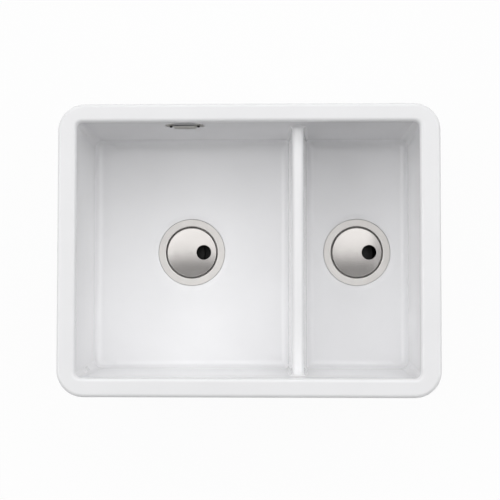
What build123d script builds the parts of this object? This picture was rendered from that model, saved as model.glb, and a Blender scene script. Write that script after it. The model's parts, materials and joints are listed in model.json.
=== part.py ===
from build123d import *
import os
from math import atan2, cos, radians, sin, tan

# Ceramic undermount kitchen sink with a main bowl and a half bowl, in millimetres.
# The origin is the centre of the rim's top face: +X to the half bowl, +Y to the back, +Z up.

# Ceramic body
sink_length = 595.0
sink_depth = 456.0
bowl_depth = 185.0
floor_thickness = 23.0
rim_left = 29.5
rim_right = 32.3
rim_back = 29.0
rim_front = 30.0
outer_corner_radius = 42.0
rim_edge_radius = 6.0
lip_height = 18.0
lip_overhang = 14.0
lip_lower_radius = 4.0
base_edge_radius = 14.0
mouth_corner_radius = 8.5
floor_corner_radius = 14.5
inner_fillet_radius = 13.5
side_wall_draft = 3.5
front_wall_draft = 8.0
back_wall_draft = 6.0
wall_embed = 8.0

# Divider between the bowls
half_bowl_width = 179.5
divider_width = 17.4
divider_draft = 7.0
divider_drop = 38.0
divider_top_radius = 8.3
divider_end_radius = 5.0

# Waste seats in the bowl floors
waste_back_offset = 3.4
waste_hole_radius = 45.0
waste_recess_clearance = 0.5
waste_recess_depth = 4.0
recess_edge_radius = 0.6
dish_width = 9.5
dish_depth = 1.0
dish_curve_radius = 60.0
waste_seat_clearance = 4.0
waste_seat_depth = 4.0

# Strainer cup
cup_sheet = 1.0
flange_radius = 55.8
flange_below_floor = 0.6
flange_fall = 0.25
cup_radius = 43.6
cup_bend_radius = 1.6
flange_edge_radius = 0.45
ledge_bend_radius = 1.2
ledge_depth = 9.0
ledge_width = 4.4
cup_wall_taper = 2.5
cup_depth = 58.0
cup_floor_bend = 5.0
drain_hole_radius = 5.0
drain_hole_circle = 18.0
drain_hole_count = 8
cup_gasket_inset = 1.2
cup_gasket_wall_gap = 1.6

# Fixing screw and its nut
screw_radius = 3.0
screw_head_radius = 6.0
screw_head_height = 3.2
screw_clearance = 0.3
thread_clearance = 0.05
screw_tip = 2.0
slot_width = 1.4
slot_depth = 1.5
nut_across_flats = 10.0
nut_height = 5.0
nut_pocket_clearance = 0.15

# Waste body under the floor
under_gasket_thickness = 3.0
body_wall = 3.0
body_bore_radius = 47.0
body_flange_width = 4.0
body_flange_thickness = 5.0
body_edge_radius = 1.0
body_root_radius = 1.5
funnel_outer_radius = 6.0
funnel_inner_radius = 5.0
boss_gap = 3.0
boss_radius = 9.0
boss_height = 12.0
spider_arm_count = 4
spider_arm_thickness = 3.0
funnel_height = 20.0
collar_width = 4.0
collar_height = 4.0
collar_root_radius = 2.0
outlet_radius = 23.9
outlet_bore_radius = 20.5
outlet_length = 24.0
outlet_edge_radius = 0.8
outlet_bore_edge_radius = 0.6
gusset_count = 12
gusset_height = 11.0
gusset_thickness = 2.0

# Lift-out basket, moulded
basket_sheet = 1.6
basket_rim_clearance = 0.3
basket_wall_gap = 0.6
basket_wall_taper = 6.0
basket_bend_radius = 2.4
basket_floor_bend = 4.0
basket_hole_radius = 2.5
basket_ring_radius = 11.5
basket_ring_step = 7.0
basket_ring_counts = (10, 16)
basket_slot_count = 16
basket_slot_width = 3.0
basket_slot_length = 14.0
stem_clearance = 0.4

# Plug with its stem, knob and seal
seal_thickness = 4.0
seal_width = 21.0
seal_bore_clearance = 4.0
plug_plate_thickness = 3.0
plug_plate_inset = 5.0
plug_travel = 6.0
plug_clearance = 1.0
stem_radius = 4.0
stem_tip_radius = 3.0
stem_tip_length = 7.0
knob_gap = 2.5
knob_radius = 20.0
knob_neck_radius = 6.0
knob_height = 12.0
knob_bend_radius = 2.0

# Lid
lid_sheet = 1.2
lid_side_gap = 2.2
lid_edge_below_flange = 0.2
lid_rise = 3.6
lid_edge_radius = 1.0
finger_hole_radius = 12.3
finger_hole_offset = 20.4
finger_hole_edge = 0.45

# Overflow in the back wall of the main bowl
overflow_drop = 34.0
overflow_slot_height = 10.0
cover_length = 58.0
cover_height = 20.0
cover_sheet = 1.2
cover_tab_length = 10.8
cover_screw_inset = 7.4
cover_ramp_length = 2.0
cover_lift = 3.4
cover_corner_radius = 4.0
cover_seat_margin = 2.0
cover_seat_depth = 0.3
overflow_screw_radius = 2.0
overflow_screw_head_radius = 2.3
overflow_screw_head_height = 2.6
overflow_screw_hole_clearance = 0.2
overflow_screw_slot_clearance = 0.5
overflow_screw_tip = 2.0
elbow_flange_length = 66.0
elbow_flange_height = 22.0
elbow_flange_thickness = 4.0
elbow_flange_corner = 5.0
elbow_flange_edge = 1.0
overflow_gasket_thickness = 2.0
overflow_gasket_margin = 1.0
hood_length = 35.0
hood_depth = 10.0
hood_wall = 2.5
hood_corner_radius = 3.0
screw_boss_radius = 4.0
screw_boss_height = 4.0
neck_height = 74.0

# Overflow pipe with its slip joints
pipe_radius = 9.0
pipe_bore_radius = 7.0
pipe_bend_radius = 30.0
pipe_insertion = 15.0
pipe_stop_gap = 0.5
socket_clearance = 0.3
socket_wall = 2.7
elbow_spigot_length = 28.0
inlet_spigot_length = 33.0
inlet_drop = 22.0
slip_washer_thickness = 3.0
slip_washer_clearance = 0.05
slip_nut_wall = 3.3
slip_nut_clearance = 0.15
slip_nut_skirt = 10.0
slip_nut_end = 3.0
slip_nut_rib_count = 10
slip_nut_rib_radius = 1.6
slip_nut_edge = 0.6
pipe_wall_gap = 1.5

# Reach of an edge or face choice, and the largest share of a wall that a rounding takes
pick = 0.05
fillet_limit = 0.95

# Levels, from the rim down
floor_z = -bowl_depth
base_z = floor_z - floor_thickness
recess_z = floor_z - waste_recess_depth
seat_z = base_z + waste_seat_depth
flange_outer_z = floor_z - flange_below_floor
flange_inner_z = flange_outer_z - flange_fall
ledge_z = floor_z - ledge_depth
cup_floor_z = floor_z - cup_depth
body_top_z = seat_z - under_gasket_thickness
boss_top_z = cup_floor_z - cup_sheet - boss_gap
boss_bottom_z = boss_top_z - boss_height
funnel_top_z = boss_top_z
funnel_bottom_z = funnel_top_z - funnel_height
outlet_bottom_z = funnel_bottom_z - collar_height - outlet_length
seal_top_z = cup_floor_z + seal_thickness
plate_top_z = seal_top_z + plug_plate_thickness
basket_floor_z = plate_top_z + plug_travel + plug_clearance + basket_sheet
knob_bottom_z = basket_floor_z + knob_gap
lid_seat_z = ledge_z + basket_sheet
lid_edge_z = flange_inner_z - lid_edge_below_flange

# Plan of the bowls
mouth_left = -sink_length / 2 + rim_left
mouth_right = sink_length / 2 - rim_right
mouth_front = -sink_depth / 2 + rim_front
mouth_back = sink_depth / 2 - rim_back
mouth_length = mouth_right - mouth_left
mouth_width = mouth_back - mouth_front
mouth_centre = ((mouth_left + mouth_right) / 2, (mouth_front + mouth_back) / 2)
floor_length = mouth_length - 2 * side_wall_draft
floor_width = mouth_width - front_wall_draft - back_wall_draft
floor_centre = (mouth_centre[0], mouth_centre[1] + (front_wall_draft - back_wall_draft) / 2)
wall_outer_back = sink_depth / 2 - lip_overhang
divider_x = mouth_right - half_bowl_width - divider_width / 2
divider_foot = divider_width / 2 + divider_draft
main_waste_x = (mouth_left + side_wall_draft + divider_x - divider_foot) / 2
half_waste_x = (mouth_right - side_wall_draft + divider_x + divider_foot) / 2
waste_y = mouth_centre[1] + waste_back_offset
recess_radius = flange_radius + waste_recess_clearance
dish_radius = recess_radius + dish_width
dish_z = floor_z - dish_depth
body_radius = body_bore_radius + body_wall
body_flange_radius = body_radius + body_flange_width
seat_radius = body_flange_radius + waste_seat_clearance

# Radii shared by the waste pieces
flange_slope = atan2(flange_fall, flange_radius - cup_radius)
cup_lower_radius = cup_radius - ledge_width
cup_foot_radius = cup_lower_radius - cup_wall_taper
basket_rim_radius = cup_radius - ledge_bend_radius - basket_rim_clearance
basket_top_radius = cup_lower_radius - basket_wall_gap - basket_sheet
basket_foot_radius = basket_top_radius - basket_wall_taper
seal_bore_radius = screw_head_radius + seal_bore_clearance
seal_radius = seal_bore_radius + seal_width
plug_plate_radius = seal_radius - plug_plate_inset
lid_radius = cup_radius - lid_side_gap
nut_radius = nut_across_flats / 3**0.5
pocket_radius = nut_radius + nut_pocket_clearance

# Overflow places and slip joint sizes
overflow_x = main_waste_x
overflow_z = -overflow_drop
seat_height = cover_height + 2 * cover_seat_margin
wall_lean = back_wall_draft / bowl_depth
cover_y = mouth_back - wall_lean * (overflow_drop - seat_height / 2) + cover_seat_depth
gasket_outer_y = wall_outer_back + overflow_gasket_thickness
elbow_flange_y = gasket_outer_y + elbow_flange_thickness
cover_screw_x = cover_length / 2 - cover_screw_inset
cover_screw_places = [(overflow_x + side * cover_screw_x, overflow_z) for side in (-1, 1)]
overflow_slot_length = 2 * (cover_screw_x + overflow_screw_radius + overflow_screw_slot_clearance)
hood_height = elbow_flange_height - 2 * hood_wall
hood_bottom_z = overflow_z - hood_height / 2
hood_back_y = elbow_flange_y + hood_depth
socket_bore = pipe_radius + socket_clearance
socket_radius = socket_bore + socket_wall
slip_nut_bore = socket_radius + slip_nut_clearance
slip_nut_radius = slip_nut_bore + slip_nut_wall
slip_nut_length = slip_nut_skirt + slip_washer_thickness + slip_nut_end
pipe_y = wall_outer_back + pipe_wall_gap + slip_nut_radius + slip_nut_rib_radius / 2
neck_bottom_z = hood_bottom_z - neck_height
elbow_end_z = neck_bottom_z - elbow_spigot_length
inlet_z = body_top_z - inlet_drop
inlet_end_y = waste_y + body_radius + inlet_spigot_length

wastes = (("main", main_waste_x), ("half", half_waste_x))


def radial_plane(waste_x, angle=0.0):
    # Upright plane through a waste's axis, with its X outward and its Y up
    turn = radians(angle)
    return Plane(
        origin=(waste_x, waste_y, 0),
        x_dir=(cos(turn), sin(turn), 0),
        z_dir=(sin(turn), -cos(turn), 0),
    )


def waste_axis(waste_x):
    return Axis((waste_x, waste_y, 0), (0, 0, 1))


def flange_under_z(radius):
    # Height of the strainer flange's lower face
    edge_radius = flange_radius + cup_sheet * sin(flange_slope)
    edge_z = flange_outer_z - cup_sheet * cos(flange_slope)
    return edge_z - (edge_radius - radius) * tan(flange_slope)


def edges_at_height(piece, height):
    return list(piece.edges().filter_by_position(Axis.Z, height - pick, height + pick))


def save(piece, name):
    piece.part.label = name
    export_step(piece.part, f"parts/{name}.step")


def ring(waste_x, inner, outer, bottom_z, top_z):
    with BuildPart() as piece:
        with BuildSketch(Plane.XY.offset(bottom_z)):
            with Locations((waste_x, waste_y)):
                Circle(outer)
                Circle(inner, mode=Mode.SUBTRACT)
        extrude(amount=top_z - bottom_z)
    return piece


# Ceramic sink: outside, bowls, divider, waste seats and overflow slot
def make_ceramic_sink():
    with BuildPart() as sink:
        with BuildSketch(Plane.XY):
            RectangleRounded(sink_length, sink_depth, outer_corner_radius)
        extrude(amount=-lip_height)
        with BuildSketch(Plane.XY.offset(-lip_height)):
            body_length = sink_length - 2 * lip_overhang
            body_depth = sink_depth - 2 * lip_overhang
            RectangleRounded(body_length, body_depth, outer_corner_radius - lip_overhang)
        extrude(amount=base_z + lip_height)
        fillet(sink.faces().sort_by(Axis.Z)[0].edges(), base_edge_radius)
        fillet(sink.faces().sort_by(Axis.Z)[-1].edges(), rim_edge_radius)
        fillet(edges_at_height(sink, -lip_height), lip_lower_radius)

        # One drafted opening for both bowls
        with BuildSketch(Plane.XY):
            with Locations(mouth_centre):
                RectangleRounded(mouth_length, mouth_width, mouth_corner_radius)
        with BuildSketch(Plane.XY.offset(floor_z)):
            with Locations(floor_centre):
                RectangleRounded(floor_length, floor_width, floor_corner_radius)
        loft(ruled=True, mode=Mode.SUBTRACT)

        # Divider with a rounded top, let into the walls and the floor
        divider_slope = divider_draft / (bowl_depth - divider_drop)
        root_z = floor_z - wall_embed
        root_half_width = divider_foot + wall_embed * divider_slope
        start_y = mouth_front - wall_embed
        end_y = mouth_back + wall_embed
        with BuildSketch(Plane.XZ.offset(-end_y)) as section:
            with BuildLine():
                Polyline(
                    (divider_x - root_half_width, root_z),
                    (divider_x - divider_width / 2, -divider_drop),
                    (divider_x + divider_width / 2, -divider_drop),
                    (divider_x + root_half_width, root_z),
                    close=True,
                )
            make_face()
            top_corners = section.vertices().group_by(Axis.Y)[-1]
            fillet(top_corners, min(divider_top_radius, fillet_limit * divider_width / 2))
        extrude(amount=end_y - start_y)

        # Inner corners: the divider's two ends, then the floor edges
        above_floor = sink.edges().filter_by_position(Axis.Z, floor_z + pick, -divider_drop + pick)
        end_edges = [
            edge
            for edge in above_floor
            if abs(edge.center().X - divider_x) < divider_foot + pick
            and abs(edge.center().Y - floor_centre[1]) > floor_width / 2 - pick
        ]
        fillet(end_edges, divider_end_radius)
        floor_edges = edges_at_height(sink, floor_z)
        fillet(floor_edges, min(inner_fillet_radius, fillet_limit * floor_corner_radius))
        mouth_edges = sink.faces().sort_by(Axis.Z)[-1].inner_wires()[0].edges()
        fillet(mouth_edges, rim_edge_radius)

        # Waste seats: dished recess above, flat counterbore below, hole between
        for _, waste_x in wastes:
            with BuildSketch(radial_plane(waste_x)) as recess:
                with BuildLine():
                    Polyline((0, floor_z), (0, recess_z), (recess_radius, recess_z), (recess_radius, dish_z))
                    RadiusArc((recess_radius, dish_z), (dish_radius, floor_z), dish_curve_radius)
                    Line((dish_radius, floor_z), (0, floor_z))
                make_face()
                dish_corner = recess.vertices().sort_by_distance((recess_radius, dish_z))[0]
                fillet(dish_corner, recess_edge_radius)
            revolve(axis=waste_axis(waste_x), mode=Mode.SUBTRACT)
            with BuildSketch(Plane.XY.offset(base_z)):
                with Locations((waste_x, waste_y)):
                    Circle(seat_radius)
            extrude(amount=waste_seat_depth, mode=Mode.SUBTRACT)
            with BuildSketch(Plane.XY.offset(base_z)):
                with Locations((waste_x, waste_y)):
                    Circle(waste_hole_radius)
            extrude(amount=floor_thickness, mode=Mode.SUBTRACT)

        # Overflow: flat seat for the cover, and the slot through the back wall
        with BuildSketch(Plane.XZ.offset(-cover_y)):
            with Locations((overflow_x, overflow_z)):
                seat_length = cover_length + 2 * cover_seat_margin
                RectangleRounded(seat_length, seat_height, cover_corner_radius + cover_seat_margin)
        extrude(amount=back_wall_draft, mode=Mode.SUBTRACT)
        with BuildSketch(Plane.XZ.offset(-cover_y)):
            with Locations((overflow_x, overflow_z)):
                SlotOverall(overflow_slot_length, overflow_slot_height)
        extrude(amount=cover_y - wall_outer_back, mode=Mode.SUBTRACT)
    return sink


# Pressed strainer cup: sloping flange, ledge for the basket, floor with drain holes
def make_strainer_cup(waste_x):
    with BuildPart() as cup:
        with BuildSketch(radial_plane(waste_x)):
            with BuildLine():
                FilletPolyline(
                    (flange_radius, flange_outer_z),
                    (cup_radius, flange_inner_z),
                    (cup_radius, ledge_z),
                    (cup_lower_radius, ledge_z),
                    (cup_foot_radius, cup_floor_z),
                    (screw_radius + screw_clearance, cup_floor_z),
                    radius=[cup_bend_radius, ledge_bend_radius, cup_bend_radius, cup_floor_bend],
                )
                offset(amount=cup_sheet, side=Side.LEFT)
            make_face()
        revolve(axis=waste_axis(waste_x))
        rim_edges = cup.edges().filter_by(GeomType.CIRCLE).sort_by(SortBy.RADIUS)[-2:]
        fillet(rim_edges, flange_edge_radius)
        with BuildSketch(Plane.XY.offset(cup_floor_z)):
            with Locations((waste_x, waste_y)):
                with PolarLocations(drain_hole_circle, drain_hole_count):
                    Circle(drain_hole_radius)
        extrude(amount=-cup_sheet, mode=Mode.SUBTRACT)
    return cup


# Rubber ring that fills the recess under the strainer's flange
def make_flange_gasket(waste_x):
    inner = cup_radius + cup_sheet + cup_gasket_wall_gap
    outer = flange_radius - cup_gasket_inset
    with BuildPart() as gasket:
        with BuildSketch(radial_plane(waste_x)):
            Polygon(
                (inner, recess_z),
                (outer, recess_z),
                (outer, flange_under_z(outer)),
                (inner, flange_under_z(inner)),
                align=None,
            )
        revolve(axis=waste_axis(waste_x))
    return gasket


# Plastic waste body: flange, housing, spider with nut pocket, funnel, outlet and overflow inlet
def make_waste_body(waste_x):
    mid_wall = body_bore_radius + body_wall / 2
    funnel_run = (body_bore_radius - outlet_bore_radius) / funnel_height
    collar_radius = outlet_radius + collar_width
    with BuildPart() as body:
        corners = (
            ((body_bore_radius, body_top_z), 0),
            ((body_flange_radius, body_top_z), body_edge_radius),
            ((body_flange_radius, body_top_z - body_flange_thickness), body_edge_radius),
            ((body_radius, body_top_z - body_flange_thickness), body_root_radius),
            ((body_radius, funnel_top_z), funnel_outer_radius),
            ((collar_radius, funnel_bottom_z), collar_root_radius),
            ((collar_radius, funnel_bottom_z - collar_height), body_edge_radius),
            ((outlet_radius, funnel_bottom_z - collar_height), 0),
            ((outlet_radius, outlet_bottom_z), outlet_edge_radius),
            ((outlet_bore_radius, outlet_bottom_z), outlet_bore_edge_radius),
            ((outlet_bore_radius, funnel_bottom_z), 0),
            ((body_bore_radius, funnel_top_z), funnel_inner_radius),
        )
        with BuildSketch(radial_plane(waste_x)):
            with BuildLine():
                FilletPolyline(
                    *[point for point, _ in corners], radius=[radius for _, radius in corners], close=True
                )
            make_face()
        revolve(axis=waste_axis(waste_x))

        # Spider arms and boss
        arm_foot = mid_wall - funnel_run * boss_height
        for arm in range(spider_arm_count):
            with BuildSketch(radial_plane(waste_x, (arm + 0.5) * 360 / spider_arm_count)):
                Polygon(
                    (0, boss_top_z),
                    (mid_wall, boss_top_z),
                    (arm_foot, boss_bottom_z),
                    (0, boss_bottom_z),
                    align=None,
                )
            extrude(amount=spider_arm_thickness / 2, both=True)
        with BuildSketch(Plane.XY.offset(boss_bottom_z)):
            with Locations((waste_x, waste_y)):
                Circle(boss_radius)
        extrude(amount=boss_height)
        with BuildSketch(Plane.XY.offset(boss_bottom_z)):
            with Locations((waste_x, waste_y)):
                Circle(screw_radius + screw_clearance)
        extrude(amount=boss_height, mode=Mode.SUBTRACT)
        with BuildSketch(Plane.XY.offset(boss_bottom_z)):
            with Locations((waste_x, waste_y)):
                RegularPolygon(pocket_radius, 6)
        extrude(amount=nut_height, mode=Mode.SUBTRACT)

        # Gussets under the flange
        gusset_top_z = body_top_z - body_flange_thickness
        for gusset in range(gusset_count):
            with BuildSketch(radial_plane(waste_x, (gusset + 0.5) * 360 / gusset_count)):
                Polygon(
                    (mid_wall, gusset_top_z),
                    (body_flange_radius - body_edge_radius, gusset_top_z),
                    (mid_wall, gusset_top_z - gusset_height),
                    align=None,
                )
            extrude(amount=gusset_thickness / 2, both=True)

        # Overflow inlet with a socket for the pipe, towards the back
        inlet_root_y = waste_y + body_bore_radius + body_wall / 4
        with BuildSketch(Plane.XZ.offset(-inlet_end_y)):
            with Locations((waste_x, inlet_z)):
                Circle(socket_radius)
        extrude(amount=inlet_end_y - inlet_root_y)
        with BuildSketch(Plane.XZ.offset(-inlet_end_y)):
            with Locations((waste_x, inlet_z)):
                Circle(socket_bore)
        extrude(amount=pipe_insertion + pipe_stop_gap, mode=Mode.SUBTRACT)
        with BuildSketch(Plane.XZ.offset(-inlet_end_y)):
            with Locations((waste_x, inlet_z)):
                Circle(pipe_bore_radius)
        extrude(amount=inlet_end_y - waste_y - cup_radius, mode=Mode.SUBTRACT)
    return body


# Slotted screw from the cup's floor down to the captive nut
def make_fixing_screw(waste_x):
    tip_z = boss_bottom_z - screw_tip
    with BuildPart() as screw:
        with BuildSketch(Plane.XY.offset(cup_floor_z)):
            with Locations((waste_x, waste_y)):
                Circle(screw_head_radius)
        extrude(amount=screw_head_height)
        fillet(screw.edges().sort_by(Axis.Z)[-1], screw_head_height / 2)
        with BuildSketch(Plane.XY.offset(tip_z)):
            with Locations((waste_x, waste_y)):
                Circle(screw_radius)
        extrude(amount=cup_floor_z - tip_z)
        chamfer(screw.edges().sort_by(Axis.Z)[0], screw_radius / 5)
        with BuildSketch(Plane.XY.offset(cup_floor_z + screw_head_height)):
            with Locations((waste_x, waste_y)):
                Rectangle(2 * screw_head_radius, slot_width)
        extrude(amount=-slot_depth, mode=Mode.SUBTRACT)
    return screw


def make_captive_nut(waste_x):
    with BuildPart() as nut:
        with BuildSketch(Plane.XY.offset(boss_bottom_z)):
            with Locations((waste_x, waste_y)):
                RegularPolygon(nut_radius, 6)
                Circle(screw_radius + thread_clearance, mode=Mode.SUBTRACT)
        extrude(amount=nut_height)
    return nut


# Lift-out basket with a rim, a slotted wall and a holed floor
def make_basket(waste_x):
    slot_middle_z = (lid_seat_z + basket_floor_z) / 2
    with BuildPart() as basket:
        with BuildSketch(radial_plane(waste_x)):
            with BuildLine():
                FilletPolyline(
                    (basket_rim_radius, lid_seat_z),
                    (basket_top_radius, lid_seat_z),
                    (basket_foot_radius, basket_floor_z),
                    (stem_radius + stem_clearance, basket_floor_z),
                    radius=[basket_bend_radius, basket_floor_bend],
                )
                offset(amount=basket_sheet, side=Side.LEFT)
            make_face()
        revolve(axis=waste_axis(waste_x))
        with BuildSketch(Plane.XY.offset(basket_floor_z)):
            with Locations((waste_x, waste_y)):
                for step, count in enumerate(basket_ring_counts):
                    ring_radius = basket_ring_radius + step * basket_ring_step
                    with PolarLocations(ring_radius, count):
                        Circle(basket_hole_radius)
        extrude(amount=-basket_sheet, mode=Mode.SUBTRACT)
        for slot in range(basket_slot_count // 2):
            turned = radial_plane(waste_x, (slot + 0.5) * 360 / basket_slot_count)
            across = Plane(origin=(waste_x, waste_y, 0), x_dir=turned.z_dir, z_dir=turned.x_dir)
            with BuildSketch(across):
                with Locations((0, slot_middle_z)):
                    SlotOverall(basket_slot_length, basket_slot_width, rotation=90)
            extrude(amount=basket_rim_radius, both=True, mode=Mode.SUBTRACT)
    return basket


# Plug: plate with its stem, rubber seal below it and a pull knob on top
def make_plug_stem(waste_x):
    with BuildPart() as stem:
        with BuildSketch(radial_plane(waste_x)):
            Polygon(
                (0, seal_top_z),
                (plug_plate_radius, seal_top_z),
                (plug_plate_radius, plate_top_z),
                (stem_radius, plate_top_z),
                (stem_radius, knob_bottom_z),
                (stem_tip_radius, knob_bottom_z),
                (stem_tip_radius, knob_bottom_z + stem_tip_length),
                (0, knob_bottom_z + stem_tip_length),
                align=None,
            )
        revolve(axis=waste_axis(waste_x))
    return stem


def make_plug_seal(waste_x):
    seal = ring(waste_x, seal_bore_radius, seal_radius, cup_floor_z, seal_top_z)
    with seal:
        chamfer(seal.edges().group_by(Axis.Z)[-1].sort_by(SortBy.RADIUS)[-1], seal_thickness / 2)
    return seal


def make_plug_knob(waste_x):
    top_z = knob_bottom_z + knob_height
    socket_top_z = knob_bottom_z + stem_tip_length + thread_clearance
    with BuildPart() as knob:
        with BuildSketch(radial_plane(waste_x)):
            with BuildLine():
                FilletPolyline(
                    (stem_tip_radius + thread_clearance, knob_bottom_z),
                    (knob_neck_radius, knob_bottom_z),
                    (knob_neck_radius, knob_bottom_z + knob_height / 3),
                    (knob_radius, knob_bottom_z + knob_height / 2),
                    (knob_radius, top_z),
                    (0, top_z),
                    (0, socket_top_z),
                    (stem_tip_radius + thread_clearance, socket_top_z),
                    radius=[0, 0, knob_bend_radius / 2, knob_bend_radius, 0, 0, 0, 0],
                    close=True,
                )
            make_face()
        revolve(axis=waste_axis(waste_x))
    return knob


# Domed lid with a short skirt and one finger hole towards +X
def make_lid(waste_x):
    skirt_radius = lid_radius - lid_sheet
    with BuildPart() as lid:
        with BuildSketch(radial_plane(waste_x)):
            with BuildLine():
                crown = SagittaArc(
                    (-lid_radius, lid_edge_z), (lid_radius, lid_edge_z), lid_rise, mode=Mode.PRIVATE
                )
                under = SagittaArc(
                    (-skirt_radius, lid_edge_z - lid_sheet),
                    (skirt_radius, lid_edge_z - lid_sheet),
                    lid_rise,
                    mode=Mode.PRIVATE,
                )
                crown_top = crown @ 0.5
                under_top = under @ 0.5
                ThreePointArc(crown_top, crown @ 0.75, crown @ 1)
                Polyline(
                    crown @ 1,
                    (lid_radius, lid_seat_z),
                    (skirt_radius, lid_seat_z),
                    under @ 1,
                )
                ThreePointArc(under @ 1, under @ 0.75, under_top)
                Line(under_top, crown_top)
            make_face()
        revolve(axis=waste_axis(waste_x))
        fillet(edges_at_height(lid, lid_edge_z), lid_edge_radius)
        with BuildSketch(Plane.XY.offset(lid_seat_z)):
            with Locations((waste_x + finger_hole_offset, waste_y)):
                Circle(finger_hole_radius)
        extrude(amount=ledge_depth + lid_rise, mode=Mode.SUBTRACT)
        hole_edges = [
            edge
            for edge in lid.edges()
            if abs(edge.center().X - waste_x - finger_hole_offset) < lid_sheet
            and edge.center().Z > lid_edge_z - lid_sheet
        ]
        fillet(hole_edges, finger_hole_edge)
    return lid


# Overflow cover: pressed bridge with a flat tab and a screw hole at each end
def make_overflow_cover():
    tab_x = cover_length / 2 - cover_tab_length
    with BuildPart() as cover:
        with BuildSketch(Plane.XY.offset(overflow_z - cover_height / 2)):
            with BuildLine():
                FilletPolyline(
                    (overflow_x - cover_length / 2, cover_y),
                    (overflow_x - tab_x, cover_y),
                    (overflow_x - tab_x + cover_ramp_length, cover_y - cover_lift),
                    (overflow_x + tab_x - cover_ramp_length, cover_y - cover_lift),
                    (overflow_x + tab_x, cover_y),
                    (overflow_x + cover_length / 2, cover_y),
                    radius=[cover_sheet / 2, cover_sheet * 1.5, cover_sheet * 1.5, cover_sheet / 2],
                )
                offset(amount=cover_sheet, side=Side.RIGHT)
            make_face()
        extrude(amount=cover_height)
        corners = cover.edges().filter_by(Axis.Y).group_by(Axis.X)
        fillet(list(corners[0]) + list(corners[-1]), cover_corner_radius)
        with BuildSketch(Plane.XZ.offset(-cover_y)):
            with Locations(cover_screw_places):
                Circle(overflow_screw_radius + overflow_screw_hole_clearance)
        extrude(amount=cover_sheet, mode=Mode.SUBTRACT)
    return cover


def make_overflow_screws():
    head_y = cover_y - cover_sheet
    tip_y = elbow_flange_y + screw_boss_height + overflow_screw_tip
    with BuildPart() as screws:
        with BuildSketch(Plane.XZ.offset(-head_y)):
            with Locations(cover_screw_places):
                Circle(overflow_screw_head_radius)
        extrude(amount=overflow_screw_head_height)
        fillet(screws.edges().group_by(Axis.Y)[0], overflow_screw_head_height / 2)
        with BuildSketch(Plane.XZ.offset(-head_y)):
            with Locations(cover_screw_places):
                Circle(overflow_screw_radius)
        extrude(amount=head_y - tip_y)
        with BuildSketch(Plane.XZ.offset(overflow_screw_head_height - head_y)):
            with Locations(cover_screw_places):
                Rectangle(2 * overflow_screw_head_radius, overflow_screw_radius / 2)
        extrude(amount=-overflow_screw_head_height / 2, mode=Mode.SUBTRACT)
    return screws


def make_overflow_gasket():
    with BuildPart() as gasket:
        with BuildSketch(Plane.XZ.offset(-gasket_outer_y)):
            with Locations((overflow_x, overflow_z)):
                RectangleRounded(elbow_flange_length, elbow_flange_height, elbow_flange_corner)
                SlotOverall(
                    overflow_slot_length + 2 * overflow_gasket_margin,
                    overflow_slot_height + 2 * overflow_gasket_margin,
                    mode=Mode.SUBTRACT,
                )
        extrude(amount=overflow_gasket_thickness)
    return gasket


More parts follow.
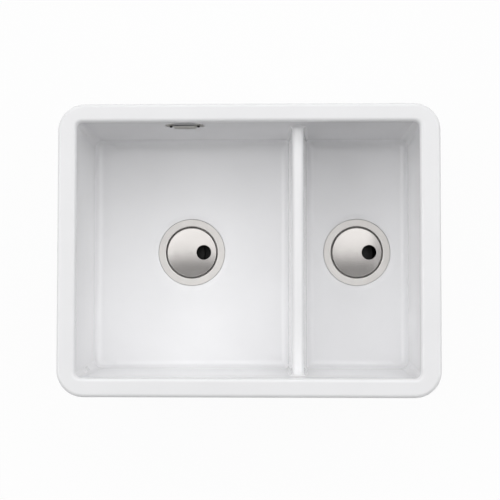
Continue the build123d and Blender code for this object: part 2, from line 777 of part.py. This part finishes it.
# Overflow elbow: flange, hood and a neck that runs down to a socket for the pipe
def make_overflow_elbow():
    hood_inner_length = hood_length - 2 * hood_wall
    hood_middle_y = (gasket_outer_y + hood_back_y) / 2
    with BuildPart() as elbow:
        with BuildSketch(Plane.XZ.offset(-elbow_flange_y)):
            with Locations((overflow_x, overflow_z)):
                RectangleRounded(elbow_flange_length, elbow_flange_height, elbow_flange_corner)
        extrude(amount=elbow_flange_thickness)
        fillet(elbow.faces().sort_by(Axis.Y)[-1].edges(), elbow_flange_edge)
        with BuildSketch(Plane.XZ.offset(-elbow_flange_y)):
            with Locations(cover_screw_places):
                Circle(screw_boss_radius)
        extrude(amount=-screw_boss_height)
        with BuildSketch(Plane.XY.offset(hood_bottom_z)):
            with Locations((overflow_x, hood_middle_y)):
                RectangleRounded(hood_length, hood_back_y - gasket_outer_y, hood_corner_radius)
        extrude(amount=hood_height)
        hood_top_edges = ShapeList(edges_at_height(elbow, overflow_z + hood_height / 2))
        fillet(hood_top_edges.filter_by(Axis.X).sort_by(Axis.Y)[-1], hood_corner_radius)
        with BuildSketch(Plane.XY.offset(hood_bottom_z)):
            with Locations((overflow_x, hood_middle_y)):
                RectangleRounded(hood_length, hood_back_y - gasket_outer_y, hood_corner_radius)
        with BuildSketch(Plane.XY.offset(neck_bottom_z)):
            with Locations((overflow_x, pipe_y)):
                Circle(socket_radius)
        loft()
        with BuildSketch(Plane.XY.offset(elbow_end_z)):
            with Locations((overflow_x, pipe_y)):
                Circle(socket_radius)
        extrude(amount=elbow_spigot_length)

        # Water way: mouth, hood, neck and socket
        mouth_height = hood_height - 2 * hood_wall
        with BuildSketch(Plane.XZ.offset(-gasket_outer_y)):
            with Locations((overflow_x, overflow_z)):
                RectangleRounded(hood_inner_length, mouth_height, hood_corner_radius)
        extrude(amount=gasket_outer_y - hood_back_y + hood_wall, mode=Mode.SUBTRACT)
        way_front_y = gasket_outer_y + hood_wall
        way_back_y = hood_back_y - hood_wall
        with BuildSketch(Plane.XY.offset(overflow_z - mouth_height / 4)):
            with Locations((overflow_x, (way_front_y + way_back_y) / 2)):
                RectangleRounded(hood_inner_length, way_back_y - way_front_y, hood_corner_radius - 1)
        with BuildSketch(Plane.XY.offset(neck_bottom_z)):
            with Locations((overflow_x, pipe_y)):
                Circle(pipe_bore_radius)
        loft(mode=Mode.SUBTRACT)
        with BuildSketch(Plane.XY.offset(elbow_end_z)):
            with Locations((overflow_x, pipe_y)):
                Circle(pipe_bore_radius)
        extrude(amount=elbow_spigot_length, mode=Mode.SUBTRACT)
        with BuildSketch(Plane.XY.offset(elbow_end_z)):
            with Locations((overflow_x, pipe_y)):
                Circle(socket_bore)
        extrude(amount=pipe_insertion + pipe_stop_gap, mode=Mode.SUBTRACT)

        # Screw holes
        with BuildSketch(Plane.XZ.offset(-gasket_outer_y)):
            with Locations(cover_screw_places):
                Circle(overflow_screw_radius + thread_clearance)
        extrude(amount=-elbow_flange_thickness - screw_boss_height, mode=Mode.SUBTRACT)
    return elbow


# Rigid overflow pipe from the elbow's socket down and forward to the main waste body
def make_overflow_pipe():
    start_z = elbow_end_z + pipe_insertion
    end_y = inlet_end_y - pipe_insertion
    with BuildPart() as pipe:
        with BuildLine():
            FilletPolyline(
                (overflow_x, pipe_y, start_z),
                (overflow_x, pipe_y, inlet_z),
                (overflow_x, end_y, inlet_z),
                radius=pipe_bend_radius,
            )
        with BuildSketch(Plane(origin=(overflow_x, pipe_y, start_z), z_dir=(0, 0, -1))):
            Circle(pipe_radius)
            Circle(pipe_bore_radius, mode=Mode.SUBTRACT)
        sweep()
    return pipe


# Slip joint pieces, on a plane at a socket's end with its Z pointing out of the socket
def make_slip_washer(end_plane, bore_radius):
    with BuildPart() as washer:
        with BuildSketch(end_plane):
            Circle(socket_radius)
            if bore_radius > 0:
                Circle(bore_radius, mode=Mode.SUBTRACT)
        extrude(amount=slip_washer_thickness)
    return washer


def make_slip_nut(end_plane, bore_radius):
    with BuildPart() as nut:
        with BuildSketch(end_plane.offset(-slip_nut_skirt)):
            Circle(slip_nut_radius)
            with PolarLocations(slip_nut_radius, slip_nut_rib_count):
                Circle(slip_nut_rib_radius)
        extrude(amount=slip_nut_length)
        end_faces = nut.faces().filter_by(GeomType.PLANE).sort_by(SortBy.AREA)[-2:]
        chamfer(end_faces.edges(), slip_nut_edge)
        with BuildSketch(end_plane.offset(-slip_nut_skirt)):
            Circle(slip_nut_bore)
        extrude(amount=slip_nut_skirt + slip_washer_thickness, mode=Mode.SUBTRACT)
        if bore_radius > 0:
            with BuildSketch(end_plane):
                Circle(bore_radius)
            extrude(amount=slip_nut_length, mode=Mode.SUBTRACT)
    return nut


os.makedirs("parts", exist_ok=True)
ceramic_sink = make_ceramic_sink()
save(ceramic_sink, "ceramic_sink")

for waste_name, waste_x in wastes:
    save(make_strainer_cup(waste_x), f"{waste_name}_strainer_cup")
    save(make_flange_gasket(waste_x), f"{waste_name}_flange_gasket")
    under_gasket = ring(waste_x, waste_hole_radius, body_flange_radius, body_top_z, seat_z)
    save(under_gasket, f"{waste_name}_under_gasket")
    save(make_waste_body(waste_x), f"{waste_name}_waste_body")
    save(make_fixing_screw(waste_x), f"{waste_name}_fixing_screw")
    save(make_captive_nut(waste_x), f"{waste_name}_captive_nut")
    save(make_basket(waste_x), f"{waste_name}_basket")
    save(make_plug_stem(waste_x), f"{waste_name}_plug_stem")
    save(make_plug_seal(waste_x), f"{waste_name}_plug_seal")
    save(make_plug_knob(waste_x), f"{waste_name}_plug_knob")
    save(make_lid(waste_x), f"{waste_name}_lid")

save(make_overflow_cover(), "overflow_cover")
save(make_overflow_screws(), "overflow_screws")
save(make_overflow_gasket(), "overflow_gasket")
save(make_overflow_elbow(), "overflow_elbow")
save(make_overflow_pipe(), "overflow_pipe")

elbow_end = Plane(origin=(overflow_x, pipe_y, elbow_end_z), x_dir=(1, 0, 0), z_dir=(0, 0, -1))
main_inlet_end = Plane(origin=(main_waste_x, inlet_end_y, inlet_z), x_dir=(1, 0, 0), z_dir=(0, 1, 0))
half_inlet_end = Plane(origin=(half_waste_x, inlet_end_y, inlet_z), x_dir=(1, 0, 0), z_dir=(0, 1, 0))
washer_bore = pipe_radius + slip_washer_clearance
nut_bore = pipe_radius + socket_clearance
for joint_name, end_plane in (("upper", elbow_end), ("lower", main_inlet_end)):
    save(make_slip_washer(end_plane, washer_bore), f"overflow_{joint_name}_washer")
    save(make_slip_nut(end_plane, nut_bore), f"overflow_{joint_name}_nut")
save(make_slip_washer(half_inlet_end, 0), "half_inlet_washer")
save(make_slip_nut(half_inlet_end, 0), "half_inlet_cap")
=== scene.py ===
import json
import math

import bmesh
import bpy
from mathutils import Euler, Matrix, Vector


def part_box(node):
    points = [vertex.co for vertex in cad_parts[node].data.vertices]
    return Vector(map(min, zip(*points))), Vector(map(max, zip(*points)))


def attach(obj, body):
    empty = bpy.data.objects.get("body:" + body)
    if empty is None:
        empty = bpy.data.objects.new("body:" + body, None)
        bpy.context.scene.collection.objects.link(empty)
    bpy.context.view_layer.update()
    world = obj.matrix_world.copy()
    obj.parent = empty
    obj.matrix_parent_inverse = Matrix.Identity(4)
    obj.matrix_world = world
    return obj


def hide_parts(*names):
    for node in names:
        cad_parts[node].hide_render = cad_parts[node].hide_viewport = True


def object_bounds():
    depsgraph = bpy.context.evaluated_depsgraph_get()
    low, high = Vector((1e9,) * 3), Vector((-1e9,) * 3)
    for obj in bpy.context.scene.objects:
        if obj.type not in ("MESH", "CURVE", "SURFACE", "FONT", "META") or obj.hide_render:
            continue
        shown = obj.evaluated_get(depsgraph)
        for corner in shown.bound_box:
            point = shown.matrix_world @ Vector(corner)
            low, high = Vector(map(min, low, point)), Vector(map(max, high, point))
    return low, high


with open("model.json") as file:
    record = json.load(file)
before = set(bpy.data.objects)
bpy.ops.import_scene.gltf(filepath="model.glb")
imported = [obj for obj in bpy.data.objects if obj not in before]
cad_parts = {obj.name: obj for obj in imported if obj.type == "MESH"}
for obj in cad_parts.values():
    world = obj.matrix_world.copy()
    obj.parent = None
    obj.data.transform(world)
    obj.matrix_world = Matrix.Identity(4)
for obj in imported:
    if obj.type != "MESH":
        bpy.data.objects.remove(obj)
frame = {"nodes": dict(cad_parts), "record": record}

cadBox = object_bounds()
scene = bpy.context.scene
nodes = frame["nodes"]
mounts = {mount["name"]: mount for mount in frame["record"]["mounts"]}
wastes = ("main", "half")
mmPerMetre = 1000
up = (0, 0, 1)
print("frame loaded:", len(nodes), "nodes")

# camera, found from the sink's outline, wall feet and waste centres in the photograph
photoCamera = {
    "place": (0.0638, -0.0910, 1.9534),
    "turn": (2.654, 1.788, 0.049),  # degrees about X, Y and Z
    "lens": 91.2,
    "sensor": 36.0,
    "near": 0.05,
    "far": 50,
}


def placeCamera(spec):
    data = bpy.data.cameras.new("photoCamera")
    data.lens = spec["lens"]
    data.sensor_width = spec["sensor"]
    data.clip_start = spec["near"]
    data.clip_end = spec["far"]
    camera = bpy.data.objects.new("photoCamera", data)
    camera.location = spec["place"]
    camera.rotation_euler = Euler([math.radians(angle) for angle in spec["turn"]], "XYZ")
    scene.collection.objects.link(camera)
    scene.camera = camera


placeCamera(photoCamera)
print("camera placed")


# shader helpers for the studio and the finishes
def addNode(tree, kind, **values):
    made = tree.nodes.new(kind)
    for key, value in values.items():
        setattr(made, key, value)
    return made


def joined(tree, operation, first, second):
    made = addNode(tree, "ShaderNodeMath", operation=operation)
    tree.links.new(first, made.inputs[0])
    tree.links.new(second, made.inputs[1])
    return made.outputs[0]


def mixed(tree, share, first, second):
    made = addNode(tree, "ShaderNodeMixShader")
    tree.links.new(share, made.inputs["Fac"])
    tree.links.new(first.outputs[0], made.inputs[1])
    tree.links.new(second.outputs[0], made.inputs[2])
    return made


def fade(tree, source, start, stop, low, high, easing="SMOOTHSTEP"):
    ramp = addNode(tree, "ShaderNodeMapRange", interpolation_type=easing)
    ramp.inputs["From Min"].default_value = start
    ramp.inputs["From Max"].default_value = stop
    ramp.inputs["To Min"].default_value = low
    ramp.inputs["To Max"].default_value = high
    tree.links.new(source, ramp.inputs["Value"])
    return ramp.outputs["Result"]


def raysSeen(tree):
    # camera rays, and the rays that gloss and glass send out
    path = addNode(tree, "ShaderNodeLightPath")
    mirrored = joined(tree, "ADD", path.outputs["Is Glossy Ray"], path.outputs["Is Transmission Ray"])
    return path.outputs["Is Camera Ray"], mirrored


# studio floor, at the height of the lowest piece
studioFloor = {
    "size": 14.0,
    "colour": (0.75, 0.75, 0.75),
    "white": 0.95,  # share of plain white that the camera and gloss see
}


def buildFloor(spec):
    mesh = bpy.data.meshes.new("studioFloor")
    shape = bmesh.new()
    bmesh.ops.create_grid(shape, x_segments=1, y_segments=1, size=spec["size"] / 2)
    bmesh.ops.translate(shape, verts=shape.verts, vec=(0, 0, cadBox[0][2]))
    shape.to_mesh(mesh)
    shape.free()
    floor = bpy.data.objects.new("studioFloor", mesh)
    scene.collection.objects.link(floor)

    material = bpy.data.materials.new("studioFloor")
    material.use_nodes = True
    tree = material.node_tree
    tree.nodes.clear()
    plain = addNode(tree, "ShaderNodeBsdfDiffuse")
    plain.inputs["Color"].default_value = (*spec["colour"], 1)
    white = addNode(tree, "ShaderNodeEmission")
    share = addNode(tree, "ShaderNodeMath", operation="MULTIPLY")
    share.inputs[1].default_value = spec["white"]
    tree.links.new(joined(tree, "ADD", *raysSeen(tree)), share.inputs[0])
    upper = mixed(tree, share.outputs[0], plain, white)

    # from below the floor is clear, so that the underside can be looked at
    side = addNode(tree, "ShaderNodeNewGeometry")
    clear = addNode(tree, "ShaderNodeBsdfTransparent")
    oneWay = mixed(tree, side.outputs["Backfacing"], upper, clear)
    output = addNode(tree, "ShaderNodeOutputMaterial")
    tree.links.new(oneWay.outputs[0], output.inputs["Surface"])
    mesh.materials.append(material)


# studio sky: a wide soft panel overhead that darkens towards the front, two rings of round lights and
# a white backdrop, with every angle in degrees
overheadPanel = {
    "full": 28, "faded": 42,  # tilt from straight up
    "bands": {  # angles towards the back, with the strength at each
        "back": {"from": -12, "to": 8, "low": 0.21, "high": 1.29},
        "front": {"from": -8, "to": -24, "low": 0.0, "high": 0.3},
    },
}
lightRings = (  # tilt from straight up, half-angles of core and edge, and strengths by heading from +X
    {
        "tilt": 46, "core": 13, "edge": 20,
        "strengths": {0: 2.15, 45: 1.6, 90: 1.9, 135: 1.3, 180: 2.6, 225: 0.3, 315: 0.2},
    },
    {
        "tilt": 75, "core": 6, "edge": 22,
        "strengths": {0: 0.7, 90: 0.5, 180: 0.8},
    },
)
backdrop = {"whiteTo": 12, "goneBy": 28}  # heights over the horizon, for what gloss sees of it
plainWhite = (1, 1, 1, 1)


def sine(degrees):
    return math.sin(math.radians(degrees))


def cosine(degrees):
    return math.cos(math.radians(degrees))


def buildSky(panel, rings, horizon):
    world = bpy.data.worlds.new("studioSky")
    scene.world = world
    world.use_nodes = True
    tree = world.node_tree
    tree.nodes.clear()
    lights = addNode(tree, "ShaderNodeBackground")
    lights.inputs["Color"].default_value = plainWhite
    coords = addNode(tree, "ShaderNodeTexCoord")
    parts = addNode(tree, "ShaderNodeSeparateXYZ")
    tree.links.new(coords.outputs["Generated"], parts.inputs[0])

    bands = [
        fade(tree, parts.outputs["Y"], sine(band["from"]), sine(band["to"]), band["low"], band["high"])
        for band in panel["bands"].values()]
    cap = fade(tree, parts.outputs["Z"], cosine(panel["faded"]), cosine(panel["full"]), 0, 1)
    total = joined(tree, "MULTIPLY", joined(tree, "ADD", *bands), cap)

    for ring in rings:
        across = sine(ring["tilt"])
        for heading, strength in ring["strengths"].items():
            facing = addNode(tree, "ShaderNodeVectorMath", operation="DOT_PRODUCT")
            facing.inputs[1].default_value = (
                across * cosine(heading), across * sine(heading), cosine(ring["tilt"]))
            tree.links.new(coords.outputs["Generated"], facing.inputs[0])
            glow = fade(
                tree, facing.outputs["Value"], cosine(ring["edge"]), cosine(ring["core"]), 0, strength)
            total = joined(tree, "ADD", total, glow)
    tree.links.new(total, lights.inputs["Strength"])

    # plain white behind the object, which gloss sees near the horizon
    white = addNode(tree, "ShaderNodeBackground")
    white.inputs["Color"].default_value = plainWhite
    camera, mirrored = raysSeen(tree)
    low = fade(tree, parts.outputs["Z"], sine(horizon["goneBy"]), sine(horizon["whiteTo"]), 0, 1)
    seen = joined(tree, "ADD", camera, joined(tree, "MULTIPLY", mirrored, low))
    output = addNode(tree, "ShaderNodeOutputWorld")
    tree.links.new(mixed(tree, seen, lights, white).outputs[0], output.inputs["Surface"])


buildFloor(studioFloor)
buildSky(overheadPanel, lightRings, backdrop)
scene.view_settings.view_transform = "Standard"
print("studio lit")

# finishes: in each dictionary tones and rough are the two ends of a range, cloud, grain and the like are a
# noise's scale and detail, and depths are in metres
noiseSpan = (0.3, 0.7)  # most of a noise's values lie between these


def freshMaterial(name):
    material = bpy.data.materials.new(name)
    material.use_nodes = True
    tree = material.node_tree
    shader = tree.nodes["Principled BSDF"]
    return material, tree, shader


def noise(tree, scale, detail, **values):
    made = addNode(tree, "ShaderNodeTexNoise", **values)
    made.inputs["Scale"].default_value = scale
    made.inputs["Detail"].default_value = detail
    return made


def noiseOn(tree, scale, detail):
    coords = addNode(tree, "ShaderNodeTexCoord")
    made = noise(tree, scale, detail)
    tree.links.new(coords.outputs["Object"], made.inputs["Vector"])
    return made.outputs["Fac"]


def tint(tree, source, low, high, target):
    ramp = addNode(tree, "ShaderNodeValToRGB")
    first, last = ramp.color_ramp.elements
    first.color = (*low, 1)
    last.color = (*high, 1)
    first.position, last.position = noiseSpan
    tree.links.new(source, ramp.inputs["Fac"])
    tree.links.new(ramp.outputs["Color"], target)


def spread(tree, source, low, high, target):
    tree.links.new(fade(tree, source, *noiseSpan, low, high, easing="LINEAR"), target)


def raised(tree, sources, shader):
    # sources: (height output, depth), stacked one bump on the next
    last = None
    for height, depth in sources:
        bump = addNode(tree, "ShaderNodeBump")
        bump.inputs["Strength"].default_value = 1.0
        bump.inputs["Distance"].default_value = depth
        tree.links.new(height, bump.inputs["Height"])
        if last is not None:
            tree.links.new(last, bump.inputs["Normal"])
        last = bump.outputs["Normal"]
    tree.links.new(last, shader.inputs["Normal"])


# sink: white glaze, wiped off the foot
glaze = {
    "tones": ((0.885, 0.885, 0.895), (0.905, 0.905, 0.915)),
    "rough": (0.02, 0.05),
    "ior": 1.52,
    "cloud": (11, 3),
    "wave": (26, 1),
    "waveDepth": 0.00004,
    "peel": (420, 2),
    "peelDepth": 0.000004,
    "stopsAt": 0.0035,  # height over the foot where the glaze ends
    "wander": 0.003,
    "lineBlur": 0.0002,
    "bare": (0.8, 0.77, 0.71),
    "bareRough": 0.75,
}


def glazeWhite(spec):
    material, tree, shader = freshMaterial("glazeWhite")
    cloud = noiseOn(tree, *spec["cloud"])
    wave = noiseOn(tree, *spec["wave"])
    peel = noiseOn(tree, *spec["peel"])
    raised(tree, [(wave, spec["waveDepth"]), (peel, spec["peelDepth"])], shader)
    shader.inputs["IOR"].default_value = spec["ior"]

    # bare foot: below a wandering line, the clay shows
    coords = addNode(tree, "ShaderNodeTexCoord")
    parts = addNode(tree, "ShaderNodeSeparateXYZ")
    drift = addNode(tree, "ShaderNodeMath", operation="MULTIPLY_ADD")
    drift.inputs[1].default_value = spec["wander"]
    tree.links.new(coords.outputs["Object"], parts.inputs[0])
    tree.links.new(wave, drift.inputs[0])
    tree.links.new(parts.outputs["Z"], drift.inputs[2])
    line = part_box("ceramic_sink")[0][2] + spec["stopsAt"] + spec["wander"] / 2
    glazed = fade(tree, drift.outputs[0], line - spec["lineBlur"], line + spec["lineBlur"], 0, 1)
    colour = addNode(tree, "ShaderNodeMix", data_type="RGBA")
    colour.inputs["A"].default_value = (*spec["bare"], 1)
    tree.links.new(glazed, colour.inputs["Factor"])
    tint(tree, cloud, *spec["tones"], colour.inputs["B"])
    tree.links.new(colour.outputs["Result"], shader.inputs["Base Color"])
    gloss = addNode(tree, "ShaderNodeMix", data_type="FLOAT")
    gloss.inputs["A"].default_value = spec["bareRough"]
    tree.links.new(glazed, gloss.inputs["Factor"])
    spread(tree, peel, *spec["rough"], gloss.inputs["B"])
    tree.links.new(gloss.outputs["Result"], shader.inputs["Roughness"])
    return material


# fixing screws and overflow cover: satin steel, rougher on the cover, whose darker tone and dimmer edge
# are painted shade
screwSteel = {
    "tones": ((0.6, 0.585, 0.57), (0.66, 0.645, 0.63)),
    "rough": (0.2, 0.3),
    "edge": 1.0,  # brightness of the steel seen edge on
    "cloud": (60, 3),
    "grain": (2600, 2),
    "depth": 0.000002,
}
# painted shade: the cover gets a darker tone and a dimmer edge than the screws, though it is the same
# steel
shadedCoverSteel = {
    **screwSteel,
    "tones": ((0.44, 0.43, 0.4), (0.5, 0.49, 0.46)),
    "rough": (0.26, 0.36),
    "edge": 0.6,
}


def satinSteel(name, spec):
    material, tree, shader = freshMaterial(name)
    cloud = noiseOn(tree, *spec["cloud"])
    grain = noiseOn(tree, *spec["grain"])
    tint(tree, cloud, *spec["tones"], shader.inputs["Base Color"])
    spread(tree, grain, *spec["rough"], shader.inputs["Roughness"])
    raised(tree, [(grain, spec["depth"])], shader)
    shader.inputs["Metallic"].default_value = 1.0
    shader.inputs["Specular Tint"].default_value = (spec["edge"], spec["edge"], spec["edge"], 1)
    return material


# lids and strainer cups: steel polished on a turntable, with fine rings about the waste's axis
lidSteel = {
    "tones": ((0.615, 0.59, 0.572), (0.655, 0.63, 0.612)),
    "rough": (0.2, 0.27),
    "cloud": (45, 3),
    "rings": (900, 3),
    "depth": 0.0000012,
}
cupSteel = {
    "tones": ((0.68, 0.66, 0.64), (0.72, 0.7, 0.68)),
    "rough": (0.36, 0.48),
    "cloud": (45, 3),
    "rings": (700, 3),
    "depth": 0.000002,
}


def turnedSteel(name, centre, spec):
    material, tree, shader = freshMaterial(name)
    cloud = noiseOn(tree, *spec["cloud"])
    coords = addNode(tree, "ShaderNodeTexCoord")
    mapping = addNode(tree, "ShaderNodeMapping")
    mapping.inputs["Location"].default_value = (-centre[0], -centre[1], 0)
    mapping.inputs["Scale"].default_value = (1, 1, 0)  # so that only the distance from the axis counts
    radius = addNode(tree, "ShaderNodeVectorMath", operation="LENGTH")
    rings = noise(tree, *spec["rings"], noise_dimensions="1D")
    tree.links.new(coords.outputs["Object"], mapping.inputs["Vector"])
    tree.links.new(mapping.outputs["Vector"], radius.inputs[0])
    tree.links.new(radius.outputs["Value"], rings.inputs["W"])
    tint(tree, cloud, *spec["tones"], shader.inputs["Base Color"])
    spread(tree, rings.outputs["Fac"], *spec["rough"], shader.inputs["Roughness"])
    raised(tree, [(rings.outputs["Fac"], spec["depth"])], shader)
    shader.inputs["Metallic"].default_value = 1.0
    return material


# gaskets, washers and plug seals
sealRubber = {
    "tones": ((0.012, 0.012, 0.012), (0.026, 0.026, 0.026)),
    "rough": (0.6, 0.8),
    "cloud": (90, 3),
    "grain": (1800, 3),
    "depth": 0.00002,
}


def blackRubber(spec):
    material, tree, shader = freshMaterial("blackRubber")
    cloud = noiseOn(tree, *spec["cloud"])
    grain = noiseOn(tree, *spec["grain"])
    tint(tree, cloud, *spec["tones"], shader.inputs["Base Color"])
    spread(tree, cloud, *spec["rough"], shader.inputs["Roughness"])
    raised(tree, [(grain, spec["depth"])], shader)
    return material


# waste bodies and overflow pipework
pipePlastic = {
    "tones": ((0.74, 0.74, 0.73), (0.79, 0.79, 0.78)),
    "rough": (0.36, 0.48),
    "cloud": (30, 3),
    "grain": (1500, 2),
    "depth": 0.000012,
}


def whitePlastic(spec):
    material, tree, shader = freshMaterial("whitePlastic")
    cloud = noiseOn(tree, *spec["cloud"])
    grain = noiseOn(tree, *spec["grain"])
    tint(tree, cloud, *spec["tones"], shader.inputs["Base Color"])
    spread(tree, grain, *spec["rough"], shader.inputs["Roughness"])
    raised(tree, [(grain, spec["depth"])], shader)
    return material


# baskets, plugs and the heads of the overflow screws
basketPlastic = {
    "tones": ((0.009, 0.009, 0.009), (0.016, 0.016, 0.016)),
    "rough": (0.3, 0.42),
    "shine": 0.3,
    "cloud": (80, 2),
    "grain": (2000, 2),
    "depth": 0.00001,
}


def blackPlastic(spec):
    material, tree, shader = freshMaterial("blackPlastic")
    cloud = noiseOn(tree, *spec["cloud"])
    grain = noiseOn(tree, *spec["grain"])
    tint(tree, cloud, *spec["tones"], shader.inputs["Base Color"])
    spread(tree, grain, *spec["rough"], shader.inputs["Roughness"])
    raised(tree, [(grain, spec["depth"])], shader)
    shader.inputs["Specular IOR Level"].default_value = spec["shine"]
    return material


# captive nuts
nutBrass = {
    "tones": ((0.62, 0.44, 0.18), (0.74, 0.55, 0.26)),
    "rough": (0.22, 0.38),
    "cloud": (300, 3),
    "depth": 0.00001,
}


def turnedBrass(spec):
    material, tree, shader = freshMaterial("turnedBrass")
    cloud = noiseOn(tree, *spec["cloud"])
    tint(tree, cloud, *spec["tones"], shader.inputs["Base Color"])
    spread(tree, cloud, *spec["rough"], shader.inputs["Roughness"])
    raised(tree, [(cloud, spec["depth"])], shader)
    shader.inputs["Metallic"].default_value = 1.0
    return material


# by material slot, or by node where a piece has a finish of its own
finishes = {
    "glazed_ceramic": glazeWhite(glaze),
    "strainer_steel": satinSteel("satinSteel", screwSteel),
    # the cover's steel carries painted shade in its darker tone
    "overflow_cover": satinSteel("shadedCoverSteel", shadedCoverSteel),
    "seal_rubber": blackRubber(sealRubber),
    "waste_plastic": whitePlastic(pipePlastic),
    "black_plastic": blackPlastic(basketPlastic),
    "nut_brass": turnedBrass(nutBrass),
}
for waste in wastes:
    centre = mounts[f"{waste}_outlet"]["pos_m"]
    finishes[f"{waste}_lid"] = turnedSteel(f"{waste}LidSteel", centre, lidSteel)
    finishes[f"{waste}_strainer_cup"] = turnedSteel(f"{waste}CupSteel", centre, cupSteel)
for part in frame["record"]["subparts"]:
    mesh = nodes[part["node"]].data
    mesh.materials.clear()
    mesh.materials.append(finishes.get(part["node"]) or finishes[part["material_slot"]])

# outlets: each imported waste body gets a cut thread in place of its plain tube
outletThread = {
    "pitch": 0.00231,
    "depth": 0.0012,
    "crest": 0.0006,  # height of the ridge's flat top
    "root": 0.0016,  # height of the ridge's foot
    "embed": 0.0002,  # how far the foot sinks into the tube
    "edge": 0.0006,  # chamfer at the tube's end
    "lead": 0.0015,  # height over which the thread runs out at both ends
    "steps": 56,  # faces in a turn
    "sharpAngle": 32,  # in degrees
    "mergeWithin": 1e-6,
}


def sectionIn(shape, axis, section):
    # a closed loop in the tube's XZ plane, from pairs of radius and height
    verts = [shape.verts.new(axis + Vector((radius, 0, z))) for radius, z in section]
    edges = [shape.edges.new(pair) for pair in zip(verts, verts[1:] + verts[:1])]
    return verts, edges


def threadedTube(waste, spec, topZ, endZ):
    pin = mounts[f"{waste}_outlet"]
    bore = mounts[f"{waste}_outlet_bore"]
    axis = Vector((pin["pos_m"][0], pin["pos_m"][1], 0))
    crestRadius = pin["dims"]["r_mm"] / mmPerMetre
    boreRadius = bore["dims"]["r_mm"] / mmPerMetre
    rootRadius = crestRadius - spec["depth"]
    edge = spec["edge"]

    # tube: bore, chamfered end and thread root in one turned section
    tube = bmesh.new()
    verts, edges = sectionIn(tube, axis, [
        (boreRadius, topZ), (boreRadius, endZ + edge), (boreRadius + edge, endZ),
        (rootRadius - edge, endZ), (rootRadius, endZ + edge), (rootRadius, topZ)])
    bmesh.ops.spin(
        tube, geom=verts + edges, cent=axis, axis=up, angle=math.tau, steps=spec["steps"], use_merge=True)
    plainVerts = set(tube.verts)

    # ridge: one section turned down the tube by a pitch each turn
    inner = rootRadius - spec["embed"]
    halfRoot = spec["root"] / 2
    halfCrest = spec["crest"] / 2
    startZ = topZ - edge - halfRoot
    turns = int((topZ - endZ - 2 * edge) / spec["pitch"]) - 1
    verts, edges = sectionIn(tube, axis, [
        (inner, startZ + halfRoot), (crestRadius, startZ + halfCrest),
        (crestRadius, startZ - halfCrest), (inner, startZ - halfRoot)])
    drop = Vector((0, 0, -spec["pitch"] / spec["steps"]))
    turned = bmesh.ops.spin(
        tube, geom=verts + edges, cent=axis, axis=up, dvec=drop,
        angle=math.tau * turns, steps=spec["steps"] * turns)
    lastEdges = [part for part in turned["geom_last"] if isinstance(part, bmesh.types.BMEdge)]
    bmesh.ops.holes_fill(tube, edges=edges + lastEdges)

    # both ends of the ridge run out into the tube
    ridge = [vert for vert in tube.verts if vert not in plainVerts]
    highZ = max(vert.co.z for vert in ridge)
    lowZ = min(vert.co.z for vert in ridge)
    for vert in ridge:
        out = vert.co - axis
        out.z = 0
        reach = min(1, (highZ - vert.co.z) / spec["lead"], (vert.co.z - lowZ) / spec["lead"])
        vert.co += out.normalized() * (out.length - inner) * (reach - 1)
    bmesh.ops.recalc_face_normals(tube, faces=tube.faces)
    return tube


def threadedBody(waste, spec):
    bodyName = f"{waste}_waste_body"
    pin = mounts[f"{waste}_outlet"]
    topZ = pin["pos_m"][2] + pin["dims"]["length_mm"] / mmPerMetre / 2
    tube = threadedTube(waste, spec, topZ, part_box(bodyName)[0][2])
    mesh = bpy.data.meshes.new(f"{waste}ThreadedBody")
    tube.to_mesh(mesh)
    tube.free()

    # body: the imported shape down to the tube's top, then the tube
    shape = bmesh.new()
    shape.from_mesh(nodes[bodyName].data)
    bmesh.ops.remove_doubles(shape, verts=shape.verts, dist=spec["mergeWithin"])
    everything = shape.verts[:] + shape.edges[:] + shape.faces[:]
    bmesh.ops.bisect_plane(shape, geom=everything, plane_co=(0, 0, topZ), plane_no=up, clear_inner=True)
    bmesh.ops.bridge_loops(shape, edges=[line for line in shape.edges if line.is_boundary])
    shape.from_mesh(mesh)
    shape.to_mesh(mesh)
    shape.free()
    mesh.shade_smooth()
    mesh.set_sharp_from_angle(angle=math.radians(spec["sharpAngle"]))
    piece = bpy.data.objects.new(f"{waste}ThreadedBody", mesh)
    scene.collection.objects.link(piece)
    mesh.materials.append(finishes["waste_plastic"])
    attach(piece, "sink")
    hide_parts(bodyName)


for waste in wastes:
    threadedBody(waste, outletThread)
print("outlet threads cut")
